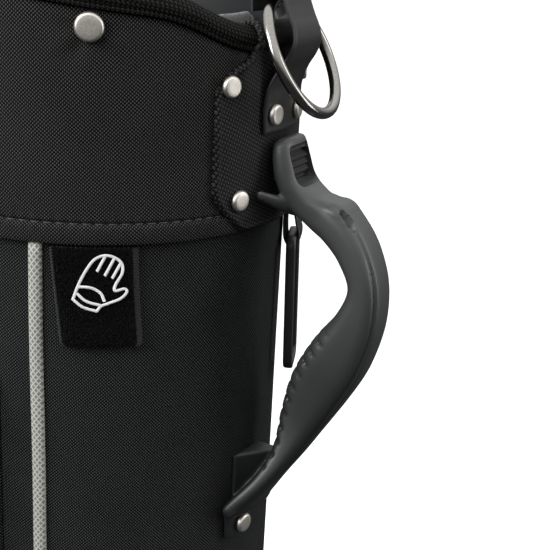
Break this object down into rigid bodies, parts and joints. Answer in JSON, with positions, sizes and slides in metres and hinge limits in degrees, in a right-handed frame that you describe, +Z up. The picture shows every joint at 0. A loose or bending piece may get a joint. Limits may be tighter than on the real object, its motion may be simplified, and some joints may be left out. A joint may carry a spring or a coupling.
{
  "type": "golf bag",
  "caption": "Free-standing golf bag with a rubber carry handle, strap ring, glove tab, zipped pockets and a divided mouth.",
  "frame": {"origin": "on the axis of the tube, at the surface the bag stands on", "axes": "+Z up along the tube, +X toward the carry handle, -Y toward the front"},
  "size_m": [0.2848, 0.2926, 0.8636],
  "materials": {
    "black_woven_nylon": "basket woven nylon, matte with a soft sheen",
    "coarse_binding": "coarse woven binding",
    "black_leather": "coated synthetic leather with a smooth edge",
    "grey_rubber": "matte moulded rubber",
    "black_plastic": "satin moulded plastic",
    "glass_fibre": "pultruded glass fibre rod",
    "grey_lining": "thin smooth lining",
    "foam": "closed-cell foam",
    "divider_fabric": "brushed padded cover",
    "silver_piping": "silver grey woven reflective piping",
    "ribbed_webbing": "ribbed webbing",
    "loop_pile": "fuzzy loop pile",
    "white_thread": "satin stitch embroidery",
    "zip_tape": "zip tape with coil teeth",
    "polished_steel": "polished",
    "nickel": "satin nickel with a bright rim"
  },
  "bodies": {
    "bag": {"base_boot": "black_plastic", "base_tread": "grey_rubber", "body_shell": "black_woven_nylon", "boot_rivet_1": "nickel", "boot_rivet_2": "nickel", "boot_rivet_3": "nickel", "boot_rivet_4": "nickel", "carry_handle": "grey_rubber", "cuff_rivet_front_handle": "nickel", "cuff_rivet_front_spine": "nickel", "cuff_rivet_rear_handle": "nickel", "cuff_rivet_rear_spine": "nickel", "divider_bar_handle_side": "divider_fabric", "divider_bar_link": "divider_fabric", "divider_bar_spine_side": "divider_fabric", "floor_pad": "foam", "front_pocket": "black_woven_nylon", "front_zip_track": "zip_tape", "handle_patch": "black_leather", "handle_rivet": "nickel", "handle_webbing": "ribbed_webbing", "inner_liner": "grey_lining", "patch_neck": "black_leather", "patch_rivet_lower_front": "nickel", "patch_rivet_upper_front": "nickel", "patch_rivet_upper_rear": "nickel", "piping_front": "silver_piping", "piping_rear": "silver_piping", "rear_pocket": "black_woven_nylon", "rear_zip_track": "zip_tape", "ring_rivet_front": "nickel", "ring_rivet_rear": "nickel", "ring_strap": "black_leather", "rolled_collar": "coarse_binding", "stay_rod_1": "glass_fibre", "stay_rod_2": "glass_fibre", "stay_rod_3": "glass_fibre", "stay_rod_4": "glass_fibre", "top_frame": "black_plastic", "upper_panel": "black_woven_nylon", "utility_rivet": "nickel", "utility_tab": "black_leather"},
    "ring": {"strap_ring": "polished_steel"},
    "utility_loop": {"utility_loop": "black_plastic"},
    "glove_tab": {"glove_tab_backing": "ribbed_webbing", "glove_tab_pile": "loop_pile", "glove_tab_selvedge_left": "ribbed_webbing", "glove_tab_selvedge_right": "ribbed_webbing", "glove_tab_icon": "white_thread"},
    "front_slider": {"front_zip_slider": "nickel"},
    "front_puller": {"front_zip_puller": "nickel"},
    "rear_slider": {"rear_zip_slider": "nickel"},
    "rear_puller": {"rear_zip_puller": "nickel"}
  },
  "joints": [
    {"name": "ring_swing", "type": "hinge", "parent": "bag", "child": "ring", "pos_m": [0.1025, 0, 0.8365], "axis": [0, -1, 0], "range_deg": [0, 50]},
    {"name": "loop_swing", "type": "hinge", "parent": "bag", "child": "utility_loop", "pos_m": [0.10298, 0.03386, 0.709], "axis": [0.3123, -0.95, 0], "range_deg": [0, 70]},
    {"name": "tab_flap", "type": "hinge", "parent": "bag", "child": "glove_tab", "pos_m": [0.05392, -0.08799, 0.723], "axis": [-0.8526, -0.5225, 0], "range_deg": [0, 65]},
    {"name": "front_zip_slide", "type": "slide", "parent": "bag", "child": "front_slider", "axis": [0, 0, -1], "range_m": [0, 0.385]},
    {"name": "front_puller_hinge", "type": "hinge", "parent": "front_slider", "child": "front_puller", "pos_m": [-0.05118, -0.14343, 0.594], "axis": [-0.8572, 0.515, 0], "range_deg": [0, 120]},
    {"name": "rear_zip_slide", "type": "slide", "parent": "bag", "child": "rear_slider", "axis": [0, 0, -1], "range_m": [0, 0.385]},
    {"name": "rear_puller_hinge", "type": "hinge", "parent": "rear_slider", "child": "rear_puller", "pos_m": [-0.05118, 0.14343, 0.594], "axis": [0.8572, 0.515, 0], "range_deg": [0, 120]}
  ]
}
